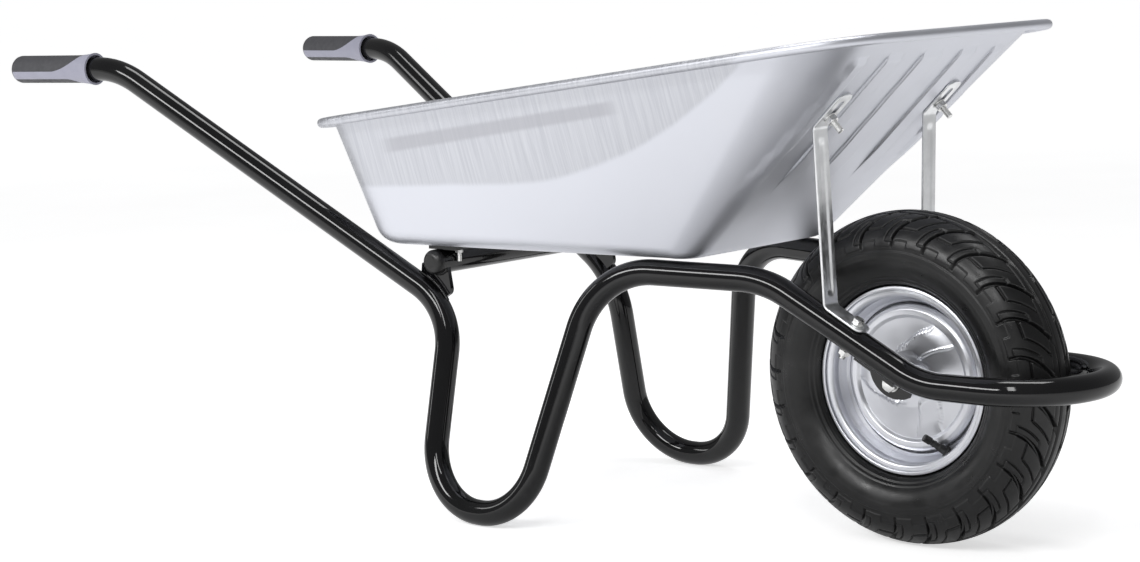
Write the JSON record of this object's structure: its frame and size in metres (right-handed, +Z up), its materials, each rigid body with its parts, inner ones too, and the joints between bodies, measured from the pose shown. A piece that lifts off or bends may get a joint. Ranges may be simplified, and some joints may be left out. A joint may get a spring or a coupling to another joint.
{
  "type": "wheelbarrow",
  "caption": "Builder's wheelbarrow with a bent black tube frame, galvanised steel tray, flat steel struts and a pneumatic wheel.",
  "frame": {"origin": "on the ground, below the middle of the whole barrow's length and width", "axes": "+X forwards towards the wheel, +Y to the left of the person pushing, +Z up"},
  "size_m": [1.5527, 0.6052, 0.616],
  "materials": {
    "black_paint": "gloss black powder coat",
    "tray_galvanised": "bright galvanised sheet",
    "zinc_bar": "bright zinc plate",
    "zinc_fastener": "zinc plated",
    "wheel_silver": "silver lacquer",
    "bearing_steel": "ground steel",
    "tyre_rubber": "moulded rubber",
    "tube_rubber": "soft matte rubber",
    "valve_rubber": "matte rubber",
    "grip_dark": "soft dark grip",
    "grip_pale": "pale lilac-grey inlay",
    "cap_plastic": "black plastic"
  },
  "bodies": {
    "frame": {"frame_tube": "black_paint", "rear_cross_tube": "black_paint", "cross_tube_caps": "cap_plastic", "cross_bracket_left": "black_paint", "cross_bracket_right": "black_paint", "tray_lug_left": "black_paint", "tray_lug_right": "black_paint", "axle_bracket_left": "black_paint", "axle_bracket_right": "black_paint", "tray": "tray_galvanised", "strut_left": "zinc_bar", "strut_right": "zinc_bar", "strut_top_bolts": "zinc_fastener", "strut_top_nuts": "zinc_fastener", "strut_foot_bolts": "zinc_fastener", "strut_foot_nuts": "zinc_fastener", "tray_floor_bolts": "zinc_fastener", "tray_floor_nuts": "zinc_fastener", "axle_bolt": "zinc_fastener", "axle_nut": "zinc_fastener", "axle_washers": "zinc_fastener", "axle_collars": "bearing_steel", "bearing_spacer": "bearing_steel", "grip_left": "grip_dark", "grip_right": "grip_dark", "grip_inlay_left": "grip_pale", "grip_inlay_right": "grip_pale"},
    "wheel": {"tyre": "tyre_rubber", "inner_tube": "tube_rubber", "rim_half_left": "wheel_silver", "rim_half_right": "wheel_silver", "hub_tube": "wheel_silver", "bearing_left": "bearing_steel", "bearing_right": "bearing_steel", "valve_stem": "valve_rubber", "valve_cap": "valve_rubber"}
  },
  "joints": [
    {"name": "wheel_spin", "type": "hinge", "parent": "frame", "child": "wheel", "pos_m": [0.519, 0, 0.2], "axis": [0, 1, 0], "continuous": true}
  ]
}
